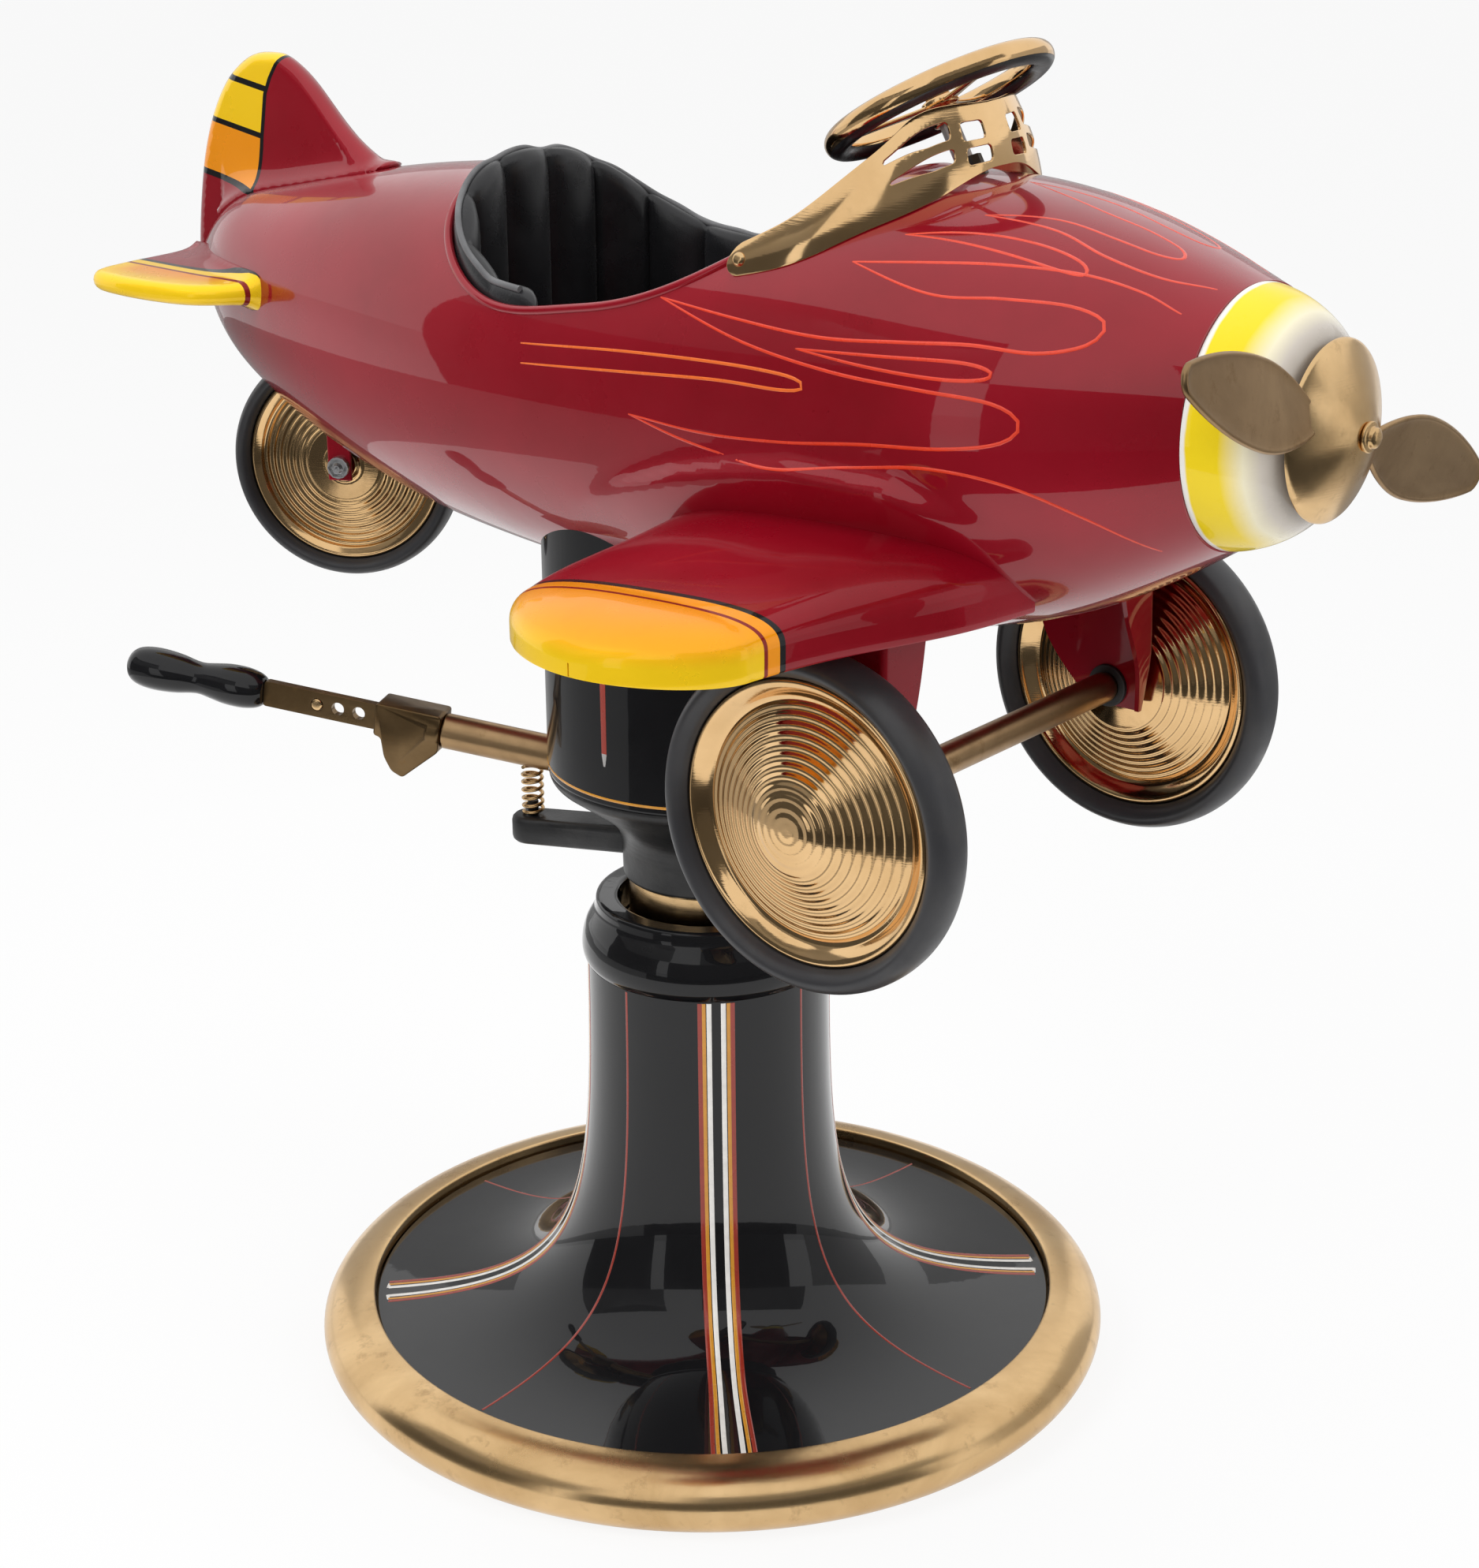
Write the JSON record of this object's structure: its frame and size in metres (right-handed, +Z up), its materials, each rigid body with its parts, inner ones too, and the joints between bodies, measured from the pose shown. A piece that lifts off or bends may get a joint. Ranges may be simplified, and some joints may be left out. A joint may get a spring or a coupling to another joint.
{
  "type": "airplane barber chair for children",
  "caption": "Child's barber chair: a pressed-steel toy airplane with padded cockpit, propeller and steered wheels, turning on a hydraulic pedestal with a pump lever.",
  "frame": {"origin": "on the floor, on the pedestal's axis", "axes": "+X towards the nose, +Y to port (the left of a child in the seat), +Z up"},
  "size_m": [1.1599, 0.78, 1.1218],
  "materials": {
    "candy_maroon": "candy gloss",
    "nose_yellow": "gloss",
    "black_enamel": "gloss enamel",
    "polished_brass": "polished",
    "black_rubber": "satin",
    "tyre_rubber": "satin",
    "black_vinyl": "grained vinyl",
    "zinc_steel": "zinc plated",
    "cast_iron": "as cast"
  },
  "bodies": {
    "pedestal": {"base_bottom_plate": "cast_iron", "base_casting": "black_enamel", "base_trim_ring": "polished_brass", "base_collar": "black_enamel", "cylinder_tube": "zinc_steel", "cylinder_gland": "polished_brass"},
    "ram": {"ram": "polished_brass", "ram_piston": "cast_iron"},
    "carriage": {"swivel_casting": "black_enamel", "drum_shell": "black_enamel", "support_column": "zinc_steel", "saddle": "cast_iron", "lever_pin": "zinc_steel", "lever_spring": "polished_brass", "fuselage_upper": "candy_maroon", "fuselage_lower": "candy_maroon", "nose_cap": "nose_yellow", "propeller_bush": "zinc_steel", "seat_pan": "zinc_steel", "seat_cushion": "black_vinyl", "seat_back_pad": "black_vinyl", "windshield_frame": "polished_brass", "right_windshield_screw": "polished_brass", "left_windshield_screw": "polished_brass", "column_bush": "black_rubber", "right_wing": "candy_maroon", "left_wing": "candy_maroon", "right_stabiliser": "candy_maroon", "left_stabiliser": "candy_maroon", "tail_fin": "candy_maroon", "tail_bracket": "zinc_steel", "right_strut": "candy_maroon", "left_strut": "candy_maroon", "front_axle": "polished_brass"},
    "propeller": {"spinner": "polished_brass", "propeller_blade_1": "polished_brass", "propeller_blade_2": "polished_brass", "propeller_nut": "polished_brass", "propeller_shaft": "zinc_steel"},
    "steering": {"steering_wheel": "polished_brass", "steering_grip": "black_rubber", "steering_column": "zinc_steel"},
    "tail_fork": {"tail_fork": "candy_maroon", "tail_kingpin": "zinc_steel", "tail_axle": "zinc_steel"},
    "tail_wheel": {"tail_tyre": "tyre_rubber", "tail_disc_right": "polished_brass", "tail_disc_left": "polished_brass"},
    "right_wheel": {"right_tyre": "tyre_rubber", "right_hub_cap": "polished_brass", "right_inner_disc": "polished_brass"},
    "left_wheel": {"left_tyre": "tyre_rubber", "left_hub_cap": "polished_brass", "left_inner_disc": "polished_brass"},
    "pump_lever": {"lever_arm": "polished_brass", "lever_yoke": "polished_brass", "lever_bar": "polished_brass", "lever_handle": "black_rubber"}
  },
  "joints": [
    {"name": "lift", "type": "slide", "parent": "pedestal", "child": "ram", "axis": [0, 0, 1], "range_m": [-0.015, 0.15]},
    {"name": "swivel", "type": "hinge", "parent": "ram", "child": "carriage", "pos_m": [0, 0, 0.4293], "axis": [0, 0, 1], "continuous": true},
    {"name": "propeller_spin", "type": "hinge", "parent": "carriage", "child": "propeller", "pos_m": [0.5506, 0, 0.8826], "axis": [1, 0, 0], "continuous": true},
    {"name": "steering_turn", "type": "hinge", "parent": "carriage", "child": "steering", "pos_m": [0.2238, 0, 1.073], "axis": [-0.4939, 0, 0.8695], "range_deg": [-4, 110]},
    {"name": "tail_steer", "type": "hinge", "parent": "carriage", "child": "tail_fork", "pos_m": [-0.402, 0, 0.7121], "axis": [0, 0, 1], "range_deg": [-55, 2]},
    {"name": "tail_wheel_spin", "type": "hinge", "parent": "tail_fork", "child": "tail_wheel", "pos_m": [-0.402, 0, 0.7121], "axis": [0.4587, -0.8886, 0], "continuous": true},
    {"name": "right_wheel_spin", "type": "hinge", "parent": "carriage", "child": "right_wheel", "pos_m": [0.273, -0.209, 0.6001], "axis": [0, 1, 0], "continuous": true},
    {"name": "left_wheel_spin", "type": "hinge", "parent": "carriage", "child": "left_wheel", "pos_m": [0.273, 0.209, 0.6001], "axis": [0, 1, 0], "continuous": true},
    {"name": "pump", "type": "hinge", "parent": "carriage", "child": "pump_lever", "pos_m": [-0.09516, -0.04437, 0.5163], "axis": [0.4226, -0.9063, 0], "range_deg": [0, 20], "stiffness_Nm_per_rad": 60, "springref_deg": -8.59, "deforming": ["lever_spring"]}
  ],
  "couplings": [
    {"joint": "tail_steer", "follows": "steering_turn", "ratio": -0.5}
  ]
}
